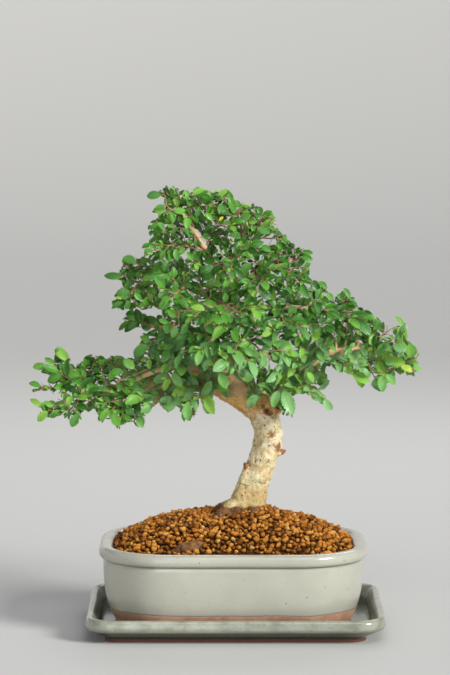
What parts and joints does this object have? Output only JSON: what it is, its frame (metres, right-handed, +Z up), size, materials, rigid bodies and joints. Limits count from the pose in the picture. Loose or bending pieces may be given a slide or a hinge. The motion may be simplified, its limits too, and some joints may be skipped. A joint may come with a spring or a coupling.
{
  "type": "chinese elm bonsai",
  "caption": "Chinese elm bonsai with a bent trunk and small toothed leaves, in granular soil in a glazed oval pot that stands on a matching rectangular drip tray.",
  "frame": {"origin": "centre of the tray's flat underside", "axes": "+X to the right as the picture shows the tree, +Y away from the viewer, +Z up; the long low branch reaches to -X"},
  "size_m": [0.3612, 0.202, 0.4185],
  "materials": {
    "tray_glaze": "darker grey-green glaze over terracotta",
    "pot_glaze": "pale grey-green glaze over terracotta",
    "drain_screen": "matt black plastic mesh",
    "soil": "granular baked clay soil",
    "bark": "smooth pale bark",
    "leaf": "semi-gloss green leaves on thin woody stems"
  },
  "bodies": {
    "root": {"tray": "tray_glaze", "pot": "pot_glaze", "drain_screen_left": "drain_screen", "drain_screen_right": "drain_screen", "soil": "soil", "wood": "bark", "low_left_tip": "leaf", "low_left_rise": "leaf", "low_left_fork": "leaf", "low_left_twig": "leaf", "low_left_drop": "leaf", "low_left_under": "leaf", "low_left_back": "leaf", "low_left_crown": "leaf", "right_low_tip": "leaf", "right_low_spur": "leaf", "right_low_drop": "leaf", "right_far_under": "leaf", "right_far_drop": "leaf", "right_far_up": "leaf", "right_far_top": "leaf", "right_low_back": "leaf", "right_low_front": "leaf", "right_mid_tip": "leaf", "right_mid_front": "leaf", "right_mid_under": "leaf", "right_mid_back": "leaf", "right_mid_up": "leaf", "right_top_tip": "leaf", "right_top_drop": "leaf", "right_top_front": "leaf", "right_top_back": "leaf", "apex_right_tip": "leaf", "apex_right_mid": "leaf", "apex_right_low": "leaf", "apex_tip": "leaf", "apex_up": "leaf", "apex_shoulder": "leaf", "apex_shelf": "leaf", "apex_front": "leaf", "apex_back": "leaf", "left_mid_tip": "leaf", "left_mid_rise": "leaf", "left_mid_drop": "leaf", "left_mid_inner": "leaf", "left_mid_front": "leaf", "left_mid_back": "leaf", "left_under_tip": "leaf", "left_under_drop": "leaf", "left_under_inner": "leaf", "left_under_back": "leaf", "front_tip": "leaf", "front_left": "leaf", "front_right": "leaf", "front_top_tip": "leaf", "front_top_right": "leaf", "back_tip": "leaf", "back_left": "leaf", "back_top_tip": "leaf", "fork_front": "leaf"}
  },
  "joints": []
}
